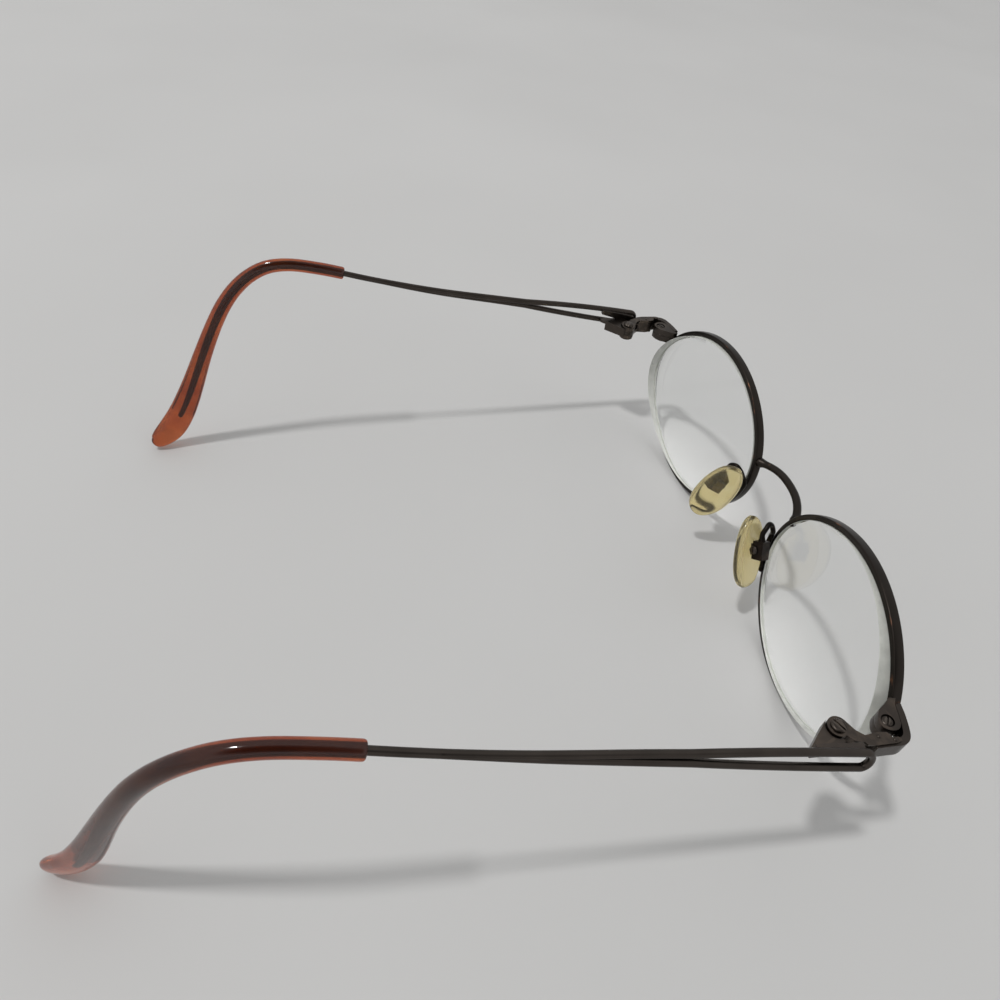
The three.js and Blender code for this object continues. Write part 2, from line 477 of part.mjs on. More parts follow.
// places a body drawn with X along L, Y along N, Z along the third axis of a right-handed frame
function place(g, f) {
  const Z = V3().crossVectors(f.L, f.N);
  g.applyMatrix4(new THREE.Matrix4().makeBasis(f.L, f.N, Z).setPosition(f.C));
  return g;
}
function box(l0, l1, n0, n1, w0, w1) {
  const g = new THREE.BoxGeometry(l1 - l0, n1 - n0, w1 - w0);
  g.translate((l0 + l1) / 2, (n0 + n1) / 2, (w0 + w1) / 2);
  return g;
}
function padSet(side, axis, centre, loop, put) {
  const f = padFrame(axis, centre);
  const back = Math.sign(V3().crossVectors(f.L, f.N).dot(f.W));   // +1 when local Z points to the back
  const [pl, pn] = PAD_PIVOT;
  // the pad: a rounded lozenge, flat behind, crowned on the contact face
  const ts = [-0.985, -0.9, -0.72, -0.45, -0.15, 0.15, 0.45, 0.72, 0.9, 0.985];
  const rings = ts.map((t) => {
    const k = Math.sqrt(1 - Math.abs(t) ** 2.3), hw = PAD_WIDTH / 2 * k * (1 + 0.06 * t), hf = PAD_FRONT * Math.sqrt(k), hb = PAD_BACK * Math.min(1, 1.6 * k);
    const prof = [[-1, 0], [-0.93, -0.55], [-0.72, -1], [0.72, -1], [0.93, -0.55], [1, 0], [0.9, 0.55], [0.5, 0.92], [0, 1], [-0.5, 0.92], [-0.9, 0.55]];
    return prof.map(([a, b]) => V3(t * PAD_LENGTH / 2, b > 0 ? b * hf : b * hb, a * hw));
  });
  const pad = place(loft(rings), f);
  // metal tongue moulded on the pad's back, drilled for the pivot screw
  const cross = (r, len, seg = 14) => { const g = new THREE.CylinderGeometry(r, r, len, seg); g.rotateX(Math.PI / 2); g.translate(pl, pn, 0); return g; };
  const tongue = cut(join(box(pl - 0.7, pl + 0.7, pn - 0.65, -PAD_BACK - 0.04, -0.65, 0.65), box(pl - 1.2, pl + 1.2, -PAD_BACK - 0.4, -PAD_BACK - 0.04, -0.9, 0.9)), cross(0.52, 6));
  const shell = cut(box(pl - 1.9, pl + 1.9, -4.0, -1.7, -1.3, 1.3), box(pl - 1.5, pl + 1.5, -3.5, -1.0, -0.85, 0.85), cross(0.5, 6));
  const pin = turned([[0, -1.45], [0.44, -1.45], [0.44, 1.33], [0.85, 1.33], [0.85, 1.55], [0.7, 1.72], [0, 1.72]], 14);
  const groove = new THREE.BoxGeometry(3, 0.25, 0.36); groove.translate(0, 0, 1.72);
  const pinCut = cut(pin, groove);
  if (back < 0) pinCut.rotateX(Math.PI);
  pinCut.translate(pl, pn, 0);
  put(`nose_pad_${side}`, pad, PADPLASTIC);
  put(`pad_insert_${side}`, place(tongue, f), STEEL);
  put(`pad_box_${side}`, place(shell.clone(), f), BRONZE);
  put(`pad_screw_${side}`, place(pinCut, f), STEEL);
  // arm: from the back of the rim, up, over and down to the top of the box
  const end = f.p(pl - 1.95, -2.9, 0), above = f.p(pl - 3.4, -2.85, 0);
  const nasalAngle = (z) => { let best = 0, gap = 9; for (let a = 2.6; a < 4.3; a += 0.002) { const e = Math.abs(rimPoint(a, 0, 0).z - z); if (e < gap) { gap = e; best = a; } } return best; };
  const hug = ARM_HUG.map(([z, p, q]) => rimPoint(nasalAngle(z), p, q));
  const curve = new THREE.CatmullRomCurve3([...hug, ...loop.map((p) => V3(...p)), above, end], false, 'centripetal');
  const pts = curve.getPoints(30);
  const arm = wire(pts, pts.map(() => ARM_R), 8);
  put(`pad_arm_${side}`, cut(arm, rimSpaceNasal, place(box(pl - 1.93, pl + 3, -4.3, -1.4, -1.6, 1.6), f)), BRONZE);
  return f;
}
padSet('left', PAD_AXIS_LEFT, PAD_CENTRE_LEFT, ARM_LOOP_LEFT, (n, g, l) => add(n, g, l));
padSet('right', PAD_AXIS_RIGHT, PAD_CENTRE_RIGHT, ARM_LOOP_RIGHT, (n, g, l) => add(n, mirrored(g), l));

// ---------------------------------------------------------------- stand the part on z = 0, centred
const bounds = new THREE.Box3().setFromObject(group);
const shift = V3(-(bounds.min.x + bounds.max.x) / 2, -(bounds.min.y + bounds.max.y) / 2, -bounds.min.z);
for (const m of group.children) m.geometry.translate(shift.x, shift.y, shift.z);

export default group;
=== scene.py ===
import math

import bmesh
import bpy
import numpy as np
from mathutils import Matrix, Vector


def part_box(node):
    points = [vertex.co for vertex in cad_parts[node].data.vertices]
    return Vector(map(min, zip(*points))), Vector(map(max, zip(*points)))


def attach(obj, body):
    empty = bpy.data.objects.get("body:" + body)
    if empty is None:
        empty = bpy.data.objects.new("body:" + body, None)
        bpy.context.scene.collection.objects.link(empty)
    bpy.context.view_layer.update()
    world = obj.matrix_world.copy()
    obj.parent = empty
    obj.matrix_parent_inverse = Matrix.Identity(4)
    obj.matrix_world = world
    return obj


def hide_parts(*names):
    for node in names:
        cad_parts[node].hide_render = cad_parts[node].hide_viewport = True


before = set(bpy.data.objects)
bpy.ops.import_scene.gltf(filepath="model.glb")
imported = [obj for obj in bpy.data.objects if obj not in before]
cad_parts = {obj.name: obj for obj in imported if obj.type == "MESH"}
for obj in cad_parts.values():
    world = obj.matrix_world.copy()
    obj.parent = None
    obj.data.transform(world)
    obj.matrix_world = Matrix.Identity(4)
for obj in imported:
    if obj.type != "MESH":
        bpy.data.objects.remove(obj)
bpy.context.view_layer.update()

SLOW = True

# ------------------------------------------------------------------ dimensions, mm, the same as the CAD source's
RIM_A, RIM_B, RIM_POWER, RIM_CX, RIM_WRAP, RIM_TILT = 22.77, 17.83, 1.979, 30.84, 0.11473, 0.10728
RIM_HARM = [-0.01514, 0.00065, 0, 0.02675, 0.00971, -0.00036, 0.00718, -0.00252]
RIM_WALL, RIM_DEPTH, GROOVE_DEPTH, GROOVE_HALF = 1.1, 1.8, 0.4, 0.45
SPLIT_Z, SPLIT_GAP = 26.45, 0.1
LENS_GAP, LENS_FRONT_R, LENS_BACK_R, LENS_CENTRE, LENS_FRONT_EDGE, LENS_DECENTRE = 0.1, 175, 119, 2.0, -0.75, 7.0
BRIDGE_END, BRIDGE_TOP, BRIDGE_R = [8.75, -3.5, 22.6], [0, -6.0, 23.9], 0.85
HINGE_X, HINGE_Y, KNUCKLE_R = 54.4, 13.93, 1.65
STACK, PLAY = [25.1, 26.2, 27.3, 28.4], 0.06
PIN_R, PIN_HOLE_R, PIN_HEAD_R, PIN_HEAD_H = 0.7, 0.76, 1.15, 0.42
STRIP_Z, BLOCK_Z = [24.95, 28.0], [24.9, 26.4, 26.5, 28.0]
LOCK_X, LOCK_Y, LOCK_R, LOCK_HOLE_R, LOCK_HEAD_R = 54.3, 5.35, 0.6, 0.64, 0.95
LOCK_SINK_R, LOCK_SINK_Z, LIP_GAP = 1.05, 27.5, 0.02
TEMPLE_X, TEMPLE_Y, TEMPLE_Z, TEMPLE_SPLAY = 59.31, 13.93, 25.38, math.radians(-2.75)
EAR_INSET, EAR_FROM, EAR_FORWARD, FORWARD_FROM, FORWARD_OVER = 4.08, 83.8, 1.7, 78, 32
TEMPLE_PATH = [[-3.28, 1.6], [13.32, 4.7], [31.16, 7.95], [48.40, 11.1], [63.22, 14.6], [73.87, 17.37],
               [80.51, 18.43], [85.24, 17.99], [89.48, 16.07], [93.20, 13.11], [96.27, 9.54], [98.91, 5.47],
               [101.40, 0.99], [103.79, -3.71], [106.03, -8.38], [108.23, -12.80], [110.65, -17.15],
               [113.55, -21.0], [117.21, -24.0]]
STRAND_R, SHAFT_R, STRAND_SPREAD, STRAND_STAGGER = 0.64, 0.62, 3.4, 0.6
MERGE_FROM, MERGE_TO, SLEEVE_FROM, SLEEVE_R = 26, 60, 68.9, 1.35
PAD_CENTRE = {"left": [7.95, 4.65, 15.3], "right": [9.1, 4.0, 14.4]}
PAD_AXIS = {"left": [0.86, 4.6, -13.9], "right": [8.35, 1.16, -12.06]}
PAD_TURN, PAD_LENGTH, PAD_WIDTH, PAD_FRONT, PAD_BACK = math.radians(20), 15.3, 8.6, 1.35, 1.0
PAD_PIVOT, ARM_R = [-1.0, -2.1], 0.52
ARM_HUG = [[9.4, 0.1, 1.2], [11.2, 0.3, 1.46], [13.4, 0.35, 1.48], [15.6, 0.35, 1.5], [17.4, 0.4, 1.6]]
ARM_LOOP = {"right": [[7.7, -0.6, 18.8], [7.25, 0.0, 20.1], [7.5, 0.9, 20.7], [8.3, 1.8, 20.3]],
            "left": [[7.95, -0.5, 19.0], [8.2, 0.5, 20.7], [9.1, 1.35, 21.5], [10.2, 2.05, 20.8]]}
SIDES = {"left": 1, "right": -1}

# the CAD model is shifted to stand centred on z = 0; the hinge screw says by how much
_lo, _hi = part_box("hinge_screw_left")
SHIFT = np.array([0.0, (_lo.y + _hi.y) / 2 * 1000 - HINGE_Y, _hi.z * 1000 - (STACK[3] + 0.03 + PIN_HEAD_H)])


# ------------------------------------------------------------------ curves of the design
def vec(*a):
    return np.array(a, float)


def unit(v):
    v = np.asarray(v, float)
    return v / np.linalg.norm(v)


def smooth(x):
    t = min(1.0, max(0.0, x))
    return t * t * (3 - 2 * t)


RIM_U = vec(math.cos(RIM_WRAP), math.sin(RIM_WRAP), 0)
RIM_V = vec(0, -math.sin(RIM_TILT), math.cos(RIM_TILT))
RIM_D = unit(np.cross(RIM_V, RIM_U))


def outline_uv(th):
    c, s, e, h = math.cos(th), math.sin(th), 2 / RIM_POWER, RIM_HARM
    g = 1 + h[0] * c + h[1] * s + h[2] * math.cos(2 * th) + h[3] * math.sin(2 * th) + h[4] * math.cos(3 * th) \
        + h[5] * math.sin(3 * th) + h[6] * math.cos(4 * th) + h[7] * math.sin(4 * th)
    return RIM_A * g * math.copysign(abs(c) ** e, c), RIM_B * g * math.copysign(abs(s) ** e, s)


V_SHIFT = -RIM_B - min(outline_uv(i * math.pi / 360)[1] for i in range(720))
RIM_C = vec(RIM_CX, 0, RIM_B * math.cos(RIM_TILT))


def in_plane(u, v, q):
    return RIM_C + RIM_U * u + RIM_V * v + RIM_D * q


def rim_point(th, p, q):
    u, v = outline_uv(th)
    u1, v1 = outline_uv(th + 1e-3)
    u0, v0 = outline_uv(th - 1e-3)
    du, dv = u1 - u0, v1 - v0
    n = math.hypot(du, dv)
    return in_plane(u + p * dv / n, v + V_SHIFT - p * du / n, q)


SPLIT_ANGLE = max(0.1 + 0.0005 * i for i in range(2200) if rim_point(0.1 + 0.0005 * i, 0, 0)[2] < SPLIT_Z)


def catmull(points, steps):
    """Centripetal Catmull-Rom through the points, evenly stepped between knots."""
    P = [np.asarray(p, float) for p in points]
    P = [2 * P[0] - P[1]] + P + [2 * P[-1] - P[-2]]
    out = []
    for i in range(1, len(P) - 2):
        p0, p1, p2, p3 = P[i - 1:i + 3]
        d0, d1, d2 = (max(1e-6, np.linalg.norm(b - a)) ** 0.5 for a, b in ((p0, p1), (p1, p2), (p2, p3)))
        m1 = ((p1 - p0) / d0 - (p2 - p0) / (d0 + d1) + (p2 - p1) / d1) * d1
        m2 = ((p2 - p1) / d1 - (p3 - p1) / (d1 + d2) + (p3 - p2) / d2) * d1
        for k in range(steps):
            t = k / steps
            out.append((2 * t ** 3 - 3 * t ** 2 + 1) * p1 + (t ** 3 - 2 * t ** 2 + t) * m1
                       + (-2 * t ** 3 + 3 * t ** 2) * p2 + (t ** 3 - t ** 2) * m2)
    out.append(P[-2])
    return np.array(out)


_path = catmull([[0, s, z] for s, z in TEMPLE_PATH], 24)


def z_at(s):
    return float(np.interp(s, _path[:, 1], _path[:, 2]))


forward = 0.0


def temple_point(s, z, o=0.0):
    f = max(0.0, (s - EAR_FROM) / 30)
    out = -EAR_INSET * f * f + o
    return vec(TEMPLE_X + out * math.cos(TEMPLE_SPLAY) + s * math.sin(TEMPLE_SPLAY),
               TEMPLE_Y + s * math.cos(TEMPLE_SPLAY) - out * math.sin(TEMPLE_SPLAY) - forward * smooth((s - FORWARD_FROM) / FORWARD_OVER),
               TEMPLE_Z + z)


def legs(s):
    """Upper centre and radius, lower centre and radius, stagger. The lower leg sinks into the upper one as they merge."""
    touch = STRAND_R + 0.025
    if s <= MERGE_FROM:
        h = touch + (STRAND_SPREAD / 2 - touch) * (1 - (max(0.0, s) / MERGE_FROM) ** 2)
        return h, STRAND_R, -h, STRAND_R, STRAND_STAGGER / 2
    t = min(1.0, (s - MERGE_FROM) / (MERGE_TO - MERGE_FROM))
    H, ru = STRAND_R + touch + (SHAFT_R - STRAND_R - touch) * t, STRAND_R + (SHAFT_R - STRAND_R) * t
    rl = STRAND_R * 0.98
    return H - ru, ru, -H + rl, rl, STRAND_STAGGER / 2 * (1 - smooth(t))


# ------------------------------------------------------------------ mesh making, in mm until finalise()
def new_object(name, verts, faces, mat_ids=None):
    me = bpy.data.meshes.new(name)
    me.from_pydata([tuple(map(float, v)) for v in verts], [], [tuple(f) for f in faces])
    if mat_ids is not None:
        me.polygons.foreach_set("material_index", mat_ids)
    bm = bmesh.new()
    bm.from_mesh(me)
    bmesh.ops.remove_doubles(bm, verts=bm.verts, dist=1e-5)
    bmesh.ops.recalc_face_normals(bm, faces=bm.faces)
    bm.to_mesh(me)
    bm.free()
    ob = bpy.data.objects.new(name, me)
    bpy.context.scene.collection.objects.link(ob)
    return ob


def loft(rings, closed=False, start=None, end=None):
    n, m = len(rings), len(rings[0])
    verts = [p for r in rings for p in r]
    faces = []
    for i in range(n if closed else n - 1):
        for j in range(m):
            a, b = i * m + j, i * m + (j + 1) % m
            c, d = ((i + 1) % n) * m + (j + 1) % m, ((i + 1) % n) * m + j
            faces.append((a, b, c, d))
    if not closed:
        for point, base, flip in ((start, 0, True), (end, (n - 1) * m, False)):
            if point is None:
                f = [base + j for j in range(m)]
                faces.append(tuple(reversed(f)) if flip else tuple(f))
            else:
                verts.append(point)
                k = len(verts) - 1
                for j in range(m):
                    a, b = base + j, base + (j + 1) % m
                    faces.append((k, b, a) if flip else (k, a, b))
    return verts, faces


def frames_along(points, reference):
    points = np.asarray(points, float)
    a, out = np.asarray(reference, float), []
    for i in range(len(points)):
        t = unit(points[min(i + 1, len(points) - 1)] - points[max(i - 1, 0)])
        a = unit(a - t * a.dot(t))
        out.append((t, a, np.cross(t, a)))
    return out


def tube(points, radii, sides=20, reference=(1, 0, 0), round_start=0, round_end=0, flat=None):
    """Round wire. radii may be numbers or (along a, along b) pairs. Rounded ends add a dome of that many rings."""
    fr = frames_along(points, reference)
    rings = []

    def ring(c, a, b, ra, rb):
        return [c + a * ra * math.cos(w) + b * rb * math.sin(w)
                for w in (2 * math.pi * k / sides for k in range(sides))]

    def pair(r):
        return r if hasattr(r, "__len__") else (r, r)

    start = end = None
    if round_start:
        (t, a, b), (ra, rb) = fr[0], pair(radii[0])
        for k in range(round_start, 0, -1):
            w = math.pi / 2 * k / (round_start + 0.4)
            rings.append(ring(points[0] - t * ra * math.sin(w), a, b, ra * math.cos(w), rb * math.cos(w)))
        start = points[0] - t * ra
    for p, (t, a, b), r in zip(points, fr, radii):
        ra, rb = pair(r)
        rings.append(ring(p, a, b, ra, rb))
    if round_end:
        (t, a, b), (ra, rb) = fr[-1], pair(radii[-1])
        for k in range(1, round_end + 1):
            w = math.pi / 2 * k / (round_end + 0.4)
            rings.append(ring(points[-1] + t * ra * math.sin(w), a, b, ra * math.cos(w), rb * math.cos(w)))
        end = points[-1] + t * ra
    return loft(rings, start=start, end=end)


def prism(outline, z0, z1):
    n = len(outline)
    verts = [(x, y, z0) for x, y in outline] + [(x, y, z1) for x, y in outline]
    faces = [(i, (i + 1) % n, n + (i + 1) % n, n + i) for i in range(n)]
    faces += [tuple(range(n - 1, -1, -1)), tuple(range(n, 2 * n))]
    return verts, faces


def lathe(profile, segments=40):
    """Closed turned body about z from (r, z) pairs that start and end on the axis."""
    rings = [[vec(r * math.cos(2 * math.pi * k / segments), r * math.sin(2 * math.pi * k / segments), z)
              for k in range(segments)] for r, z in profile[1:-1]]
    return loft(rings, start=vec(0, 0, profile[0][1]), end=vec(0, 0, profile[-1][1]))


def box(x0, x1, y0, y1, z0, z1):
    return prism([(x0, y0), (x1, y0), (x1, y1), (x0, y1)], z0, z1)


def evaluated(ob):
    bpy.context.view_layer.update()
    dg = bpy.context.evaluated_depsgraph_get()
    me = bpy.data.meshes.new_from_object(ob.evaluated_get(dg), preserve_all_data_layers=True, depsgraph=dg)
    old = ob.data
    ob.modifiers.clear()
    ob.data = me
    bpy.data.meshes.remove(old)
    return ob


def boolean(ob, other, operation):
    tool = new_object("tool", *other) if isinstance(other, tuple) else other
    m = ob.modifiers.new("b", "BOOLEAN")
    m.object, m.operation, m.solver = tool, operation, "EXACT"
    evaluated(ob)
    me = tool.data
    bpy.data.objects.remove(tool)
    bpy.data.meshes.remove(me)
    return ob


def shape(name, first, *steps):
    """A body from one mesh and ("+" or "-", mesh) steps."""
    ob = new_object(name, *first)
    for sign, other in steps:
        boolean(ob, other, "UNION" if sign == "+" else "DIFFERENCE")
    return ob


def bevel(ob, width, segments=3, angle=32):
    bm = bmesh.new()
    bm.from_mesh(ob.data)
    bmesh.ops.remove_doubles(bm, verts=bm.verts, dist=2e-3)
    bmesh.ops.dissolve_limit(bm, angle_limit=math.radians(1.5), verts=bm.verts, edges=bm.edges)
    bm.to_mesh(ob.data)
    bm.free()
    m = ob.modifiers.new("bevel", "BEVEL")
    m.width, m.segments, m.limit_method, m.angle_limit = width, segments, "ANGLE", math.radians(angle)
    m.use_clamp_overlap = True
    return evaluated(ob)


def turned_about_z(mesh, angle, at=(0, 0, 0)):
    c, s = math.cos(angle), math.sin(angle)
    return [(at[0] + x * c - y * s, at[1] + x * s + y * c, at[2] + z) for x, y, z in mesh[0]], mesh[1]


def finalise(ob, body, nodes, materials, side=1, local=None, sharp=38, weighted=False):
    me = ob.data
    mat_ids = [p.material_index for p in me.polygons] if len(materials) > 1 else None
    if local is not None:
        me.transform(local)
    if side < 0:
        me.transform(Matrix.Diagonal((-1, 1, 1, 1)))
        me.flip_normals()
    me.transform(Matrix.Diagonal((0.001, 0.001, 0.001, 1)) @ Matrix.Translation(Vector(SHIFT)))
    me.materials.clear()
    for m in materials:
        me.materials.append(m)
    if mat_ids is not None:
        me.polygons.foreach_set("material_index", mat_ids)
    me.polygons.foreach_set("use_smooth", [True] * len(me.polygons))
    me.set_sharp_from_angle(angle=math.radians(sharp))
    if weighted:
        m = ob.modifiers.new("w", "WEIGHTED_NORMAL")
        m.keep_sharp, m.weight = True, 80
        evaluated(ob)
    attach(ob, body)
    if nodes:
        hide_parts(*nodes)
    return ob


# ------------------------------------------------------------------ materials
class Nodes:
    def __init__(self, name):
        self.material = bpy.data.materials.new(name)
        self.material.use_nodes = True
        self.tree = self.material.node_tree
        self.tree.nodes.clear()
        self.out = self.tree.nodes.new("ShaderNodeOutputMaterial")
        self.shader = self.tree.nodes.new("ShaderNodeBsdfPrincipled")
        self.link(self.shader.outputs[0], self.out.inputs["Surface"])
        self.coords = self.tree.nodes.new("ShaderNodeTexCoord").outputs["Object"]

    def link(self, a, b):
        self.tree.links.new(a, b)

    def set(self, **values):
        for k, v in values.items():
            self.shader.inputs[k.replace("_", " ")].default_value = v

    def mapping(self, scale, rotation=(0, 0, 0)):
        n = self.tree.nodes.new("ShaderNodeMapping")
        n.inputs["Scale"].default_value = scale
        n.inputs["Rotation"].default_value = rotation
        self.link(self.coords, n.inputs["Vector"])
        return n.outputs[0]

    def noise(self, scale, detail=4.0, rough=0.55, vector=None, distortion=0.0):
        n = self.tree.nodes.new("ShaderNodeTexNoise")
        n.inputs["Scale"].default_value = scale
        n.inputs["Detail"].default_value = detail
        n.inputs["Roughness"].default_value = rough
        n.inputs["Distortion"].default_value = distortion
        self.link(vector or self.coords, n.inputs["Vector"])
        return n.outputs["Fac"]

    def voronoi(self, scale, feature="DISTANCE_TO_EDGE", vector=None):
        n = self.tree.nodes.new("ShaderNodeTexVoronoi")
        n.feature = feature
        n.inputs["Scale"].default_value = scale
        self.link(vector or self.coords, n.inputs["Vector"])
        return n.outputs["Distance"]

    def ramp(self, value, stops, mode="LINEAR"):
        n = self.tree.nodes.new("ShaderNodeValToRGB")
        n.color_ramp.interpolation = mode
        e = n.color_ramp.elements
        while len(e) < len(stops):
            e.new(0.5)
        for item, (pos, col) in zip(e, stops):
            item.position = pos
            item.color = (*col, 1) if hasattr(col, "__len__") else (col, col, col, 1)
        self.link(value, n.inputs[0])
        return n.outputs["Color"]

    def span(self, value, lo, hi, out_lo, out_hi):
        n = self.tree.nodes.new("ShaderNodeMapRange")
        for k, v in zip(("From Min", "From Max", "To Min", "To Max"), (lo, hi, out_lo, out_hi)):
            n.inputs[k].default_value = v
        self.link(value, n.inputs["Value"])
        return n.outputs[0]

    def math(self, op, a, b):
        n = self.tree.nodes.new("ShaderNodeMath")
        n.operation = op
        for i, x in enumerate((a, b)):
            if isinstance(x, (int, float)):
                n.inputs[i].default_value = x
            else:
                self.link(x, n.inputs[i])
        return n.outputs[0]

    def mix(self, fac, a, b, mode="MIX"):
        n = self.tree.nodes.new("ShaderNodeMix")
        n.data_type, n.blend_type = "RGBA", mode
        for i, x in ((0, fac), (6, a), (7, b)):
            if isinstance(x, (int, float)):
                n.inputs[i].default_value = x
            elif isinstance(x, tuple):
                n.inputs[i].default_value = (*x, 1)
            else:
                self.link(x, n.inputs[i])
        return n.outputs[2]

    def edge_wear(self, lo=0.52, hi=0.6):
        g = self.tree.nodes.new("ShaderNodeNewGeometry")
        return self.span(g.outputs["Pointiness"], lo, hi, 0, 1)

    def bump(self, height, strength, distance=0.0001, chain=None):
        n = self.tree.nodes.new("ShaderNodeBump")
        n.inputs["Strength"].default_value = strength
        n.inputs["Distance"].default_value = distance
        self.link(height, n.inputs["Height"])
        if chain is not None:
            self.link(chain, n.inputs["Normal"])
        return n.outputs[0]


def bronze(name, lift=1.0, along=None, rough=(0.30, 0.38), wear_and_sheen=(0.17, 0.105, 0.07)):
    """Dark antique bronze plating: satin grey-brown, a faint cloudiness, warmer at the rubbed edges, fine drawing
    lines. The edge colour is rubbed wear, and on the rims it is also a painted copper-red highlight.
    """
    n = Nodes(name)
    base = n.ramp(n.noise(170, 3, 0.5), [(0.30, (0.046 * lift, 0.039 * lift, 0.034 * lift)),
                                         (0.75, (0.066 * lift, 0.055 * lift, 0.048 * lift))])
    # convex edges, thinned by noise, take the edge colour: rubbed wear, and on the rims also a painted copper-red
    # highlight
    wear_and_sheen_mask = n.math("MULTIPLY", n.edge_wear(0.53, 0.64), n.span(n.noise(500, 3, 0.6), 0.42, 0.62, 0.1, 0.7))
    base = n.mix(wear_and_sheen_mask, base, wear_and_sheen)
    n.link(base, n.shader.inputs["Base Color"])
    n.set(Metallic=1.0)
    streak = n.noise(2600, 3, 0.6, n.mapping(along or (1, 1, 1)))
    n.link(n.math("ADD", n.span(n.noise(400, 3, 0.5), 0.3, 0.7, rough[0], rough[1]), n.span(streak, 0.35, 0.65, -0.02, 0.03)),
           n.shader.inputs["Roughness"])
    n.link(n.bump(streak, 0.05, 0.00004), n.shader.inputs["Normal"])
    return n.material


def steel(name, base=(0.16, 0.135, 0.115)):
    """Small turned screws: dulled steel with turning lines, darker in the hollows."""
    n = Nodes(name)
    col = n.ramp(n.noise(1400, 4, 0.65), [(0.3, tuple(0.55 * c for c in base)), (0.6, base), (0.8, tuple(min(1, 1.9 * c) for c in base))])
    col = n.mix(n.math("MULTIPLY", n.edge_wear(), 0.4), col, (0.20, 0.17, 0.145))
    n.link(col, n.shader.inputs["Base Color"])
    n.set(Metallic=1.0)
    n.link(n.span(n.noise(2200, 3, 0.6), 0.3, 0.7, 0.22, 0.42), n.shader.inputs["Roughness"])
    n.link(n.bump(n.noise(5200, 3, 0.6), 0.12, 0.00004), n.shader.inputs["Normal"])
    return n.material


def tortoise(name):
    """Translucent red-brown ear sleeve: cloudy amber with darker streaks, glossy, faint handling marks."""
    n = Nodes(name)
    warp = n.mapping((1, 0.42, 0.7))
    cloud = n.noise(190, 4, 0.6, warp, 0.6)
    col = n.ramp(cloud, [(0.28, (0.26, 0.035, 0.010)), (0.48, (0.47, 0.085, 0.022)), (0.72, (0.66, 0.170, 0.045))])
    streak = n.span(n.noise(420, 3, 0.55, n.mapping((1, 0.2, 0.35))), 0.56, 0.70, 0, 0.45)
    n.link(n.mix(streak, col, (0.10, 0.012, 0.006)), n.shader.inputs["Base Color"])
    n.set(Metallic=0.0, IOR=1.49, Transmission_Weight=0.92, Coat_Weight=0.0, Specular_IOR_Level=0.25)
    n.link(n.span(n.noise(900, 4, 0.6), 0.3, 0.7, 0.05, 0.14), n.shader.inputs["Roughness"])
    n.link(n.bump(n.noise(380, 3, 0.5), 0.05, 0.0002), n.shader.inputs["Normal"])
    return n.material


def pad_plastic(name):
    """Yellowed clear vinyl: yellow in cloudy tones, faintly hazy, small rub marks."""
    n = Nodes(name)
    col = n.ramp(n.noise(240, 4, 0.6), [(0.3, (0.78, 0.64, 0.29)), (0.55, (0.85, 0.73, 0.39)), (0.75, (0.89, 0.79, 0.47))])
    n.link(col, n.shader.inputs["Base Color"])
    n.set(Metallic=0.0, IOR=1.47, Transmission_Weight=0.96, Coat_Weight=0.1, Coat_Roughness=0.1)
    n.link(n.span(n.noise(700, 4, 0.6), 0.3, 0.7, 0.04, 0.14), n.shader.inputs["Roughness"])
    n.link(n.bump(n.noise(520, 4, 0.55), 0.06, 0.0002), n.shader.inputs["Normal"])
    return n.material


def lens_glass(name):
    """Polished clear lens with the faintest smears."""
    n = Nodes(name)
    n.link(n.ramp(n.noise(90, 3, 0.5), [(0.3, (0.975, 0.985, 0.98)), (0.7, (0.99, 0.995, 0.992))]), n.shader.inputs["Base Color"])
    n.set(Metallic=0.0, IOR=1.5, Transmission_Weight=1.0)
    n.link(n.span(n.noise(300, 4, 0.7), 0.35, 0.75, 0.0, 0.035), n.shader.inputs["Roughness"])
    n.link(n.bump(n.noise(60, 2, 0.5), 0.01, 0.0002), n.shader.inputs["Normal"])
    return n.material


def lens_edge(name):
    """Ground lens edge: frosted, with the fine lines of the edging wheel."""
    n = Nodes(name)
    col = n.ramp(n.noise(500, 4, 0.6), [(0.3, (0.60, 0.61, 0.56)), (0.7, (0.74, 0.745, 0.69))])
    n.link(col, n.shader.inputs["Base Color"])
    n.set(Metallic=0.0, IOR=1.5, Transmission_Weight=0.2)
    n.link(n.span(n.noise(1500, 3, 0.6), 0.3, 0.7, 0.42, 0.62), n.shader.inputs["Roughness"])
    n.link(n.bump(n.noise(3000, 3, 0.6), 0.2, 0.00005), n.shader.inputs["Normal"])
    return n.material


# the rims' coppery edge colour is partly wear and partly a painted copper-red highlight
M_RIM = bronze("m_rim_bronze", 0.62, wear_and_sheen=(0.30, 0.13, 0.07))
M_BRIDGE = bronze("m_bridge_bronze", 0.6, (0.12, 1, 1))
M_WIRE = bronze("m_temple_bronze", 1.1, (1, 0.08, 0.5))
M_BLOCK = bronze("m_block_bronze", 1.15, wear_and_sheen=(0.115, 0.090, 0.072))
M_HINGE = bronze("m_hinge_bronze", 1.2, wear_and_sheen=(0.120, 0.095, 0.076))
M_ARM = bronze("m_arm_bronze", 0.32)
M_SCREW = steel("m_screw_steel", (0.062, 0.052, 0.045))
M_INSERT = steel("m_insert_steel", (0.075, 0.062, 0.05))
# the temple wire inside the ear sleeve is the same bronze made near-black: painted shade, the dark look of the core
# seen through the sleeve
M_CORE = bronze("m_core_bronze", 0.12, (1, 0.08, 0.5))
M_TIP = tortoise("m_tip_tortoise")
M_PAD = pad_plastic("m_pad_plastic")
M_GLASS = lens_glass("m_lens_glass")
M_EDGE = lens_edge("m_lens_edge")

# ------------------------------------------------------------------ rims and lenses
w, d = RIM_WALL / 2, RIM_DEPTH / 2


